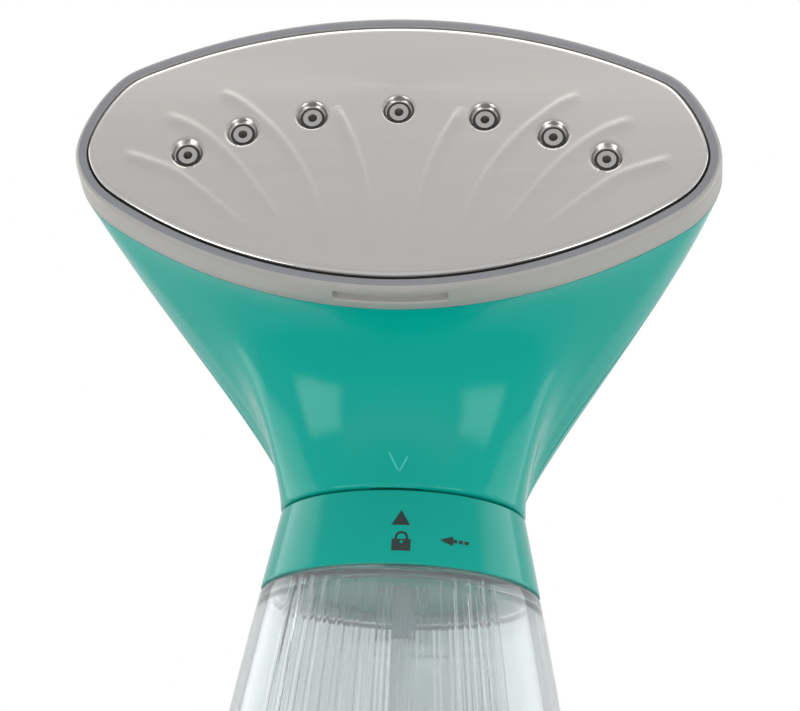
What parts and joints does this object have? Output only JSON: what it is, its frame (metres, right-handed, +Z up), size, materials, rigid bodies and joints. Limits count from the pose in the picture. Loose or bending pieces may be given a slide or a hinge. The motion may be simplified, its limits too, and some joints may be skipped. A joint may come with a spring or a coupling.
{
  "type": "garment steamer",
  "caption": "Handheld garment steamer standing on its clear water tank: wide steam face, twist collar, rear handle with trigger, power button and lock slider.",
  "frame": {"origin": "centre of the foot, on the tank axis, at floor level", "axes": "+Z up along the tank axis, -Y towards the front, where the steam face looks"},
  "size_m": [0.1438, 0.1512, 0.2275],
  "materials": {
    "teal_plastic": "gloss",
    "grey_plastic": "satin",
    "pale_plastic": "satin",
    "steel": "brushed",
    "nozzle_metal": "satin",
    "black_rubber": "matte",
    "cast_metal": "cast",
    "screw_steel": "plated",
    "heater_steel": "dull",
    "electric_plastic": "matte",
    "coil_copper": "varnished",
    "silicone": "translucent",
    "dark_plastic": "satin",
    "board": "lacquered",
    "lens": "clear",
    "clear_tank": "clear"
  },
  "bodies": {
    "tank": {"tank_shell": "clear_tank", "tank_base": "teal_plastic", "base_pad": "black_rubber"},
    "head": {"front_housing": "teal_plastic", "rear_housing": "teal_plastic", "bezel": "grey_plastic", "steam_plate": "steel", "plate_seal": "black_rubber", "steam_nozzles": "nozzle_metal", "nozzle_seals": "black_rubber", "steam_chamber": "cast_metal", "chamber_cover": "cast_metal", "cover_screws": "screw_steel", "heating_element": "heater_steel", "thermostat": "electric_plastic", "thermal_fuse": "electric_plastic", "pump_body": "electric_plastic", "pump_coil": "coil_copper", "inlet_hose": "silicone", "outlet_hose": "silicone", "tank_coupling": "teal_plastic", "coupling_seal": "black_rubber", "intake_stub": "dark_plastic", "dip_tube": "silicone", "intake_filter": "dark_plastic", "handle_shell": "teal_plastic", "handle_grip": "pale_plastic", "trigger_pin": "screw_steel", "trigger_spring": "screw_steel", "microswitch": "electric_plastic", "circuit_board": "board", "button_dome": "black_rubber", "indicator_lens": "lens", "cord_gland": "dark_plastic", "handle_screws": "screw_steel"},
    "collar": {"lock_collar": "teal_plastic"},
    "trigger": {"trigger": "pale_plastic"},
    "power_button": {"power_button": "pale_plastic"},
    "lock_slider": {"steam_lock_slider": "pale_plastic"}
  },
  "joints": [
    {"name": "head_lift", "type": "slide", "parent": "tank", "child": "head", "axis": [0, 0, 1], "range_m": [0, 0.12]},
    {"name": "collar_twist", "type": "hinge", "parent": "head", "child": "collar", "pos_m": [0, 0, 0.115], "axis": [0, 0, 1], "range_deg": [-32, 0]},
    {"name": "trigger_pull", "type": "hinge", "parent": "head", "child": "trigger", "pos_m": [0, 0.0675, 0.0995], "axis": [1, 0, 0], "range_deg": [0, 6], "stiffness_Nm_per_rad": 0.6, "springref_deg": -11.46},
    {"name": "button_press", "type": "slide", "parent": "head", "child": "power_button", "axis": [0, -0.7954, -0.6061], "range_m": [0, 0.0013], "stiffness_N_per_m": 400, "springref_m": -0.002},
    {"name": "lock_slide", "type": "slide", "parent": "head", "child": "lock_slider", "axis": [0, 0, 1], "range_m": [0, 0.008]}
  ]
}
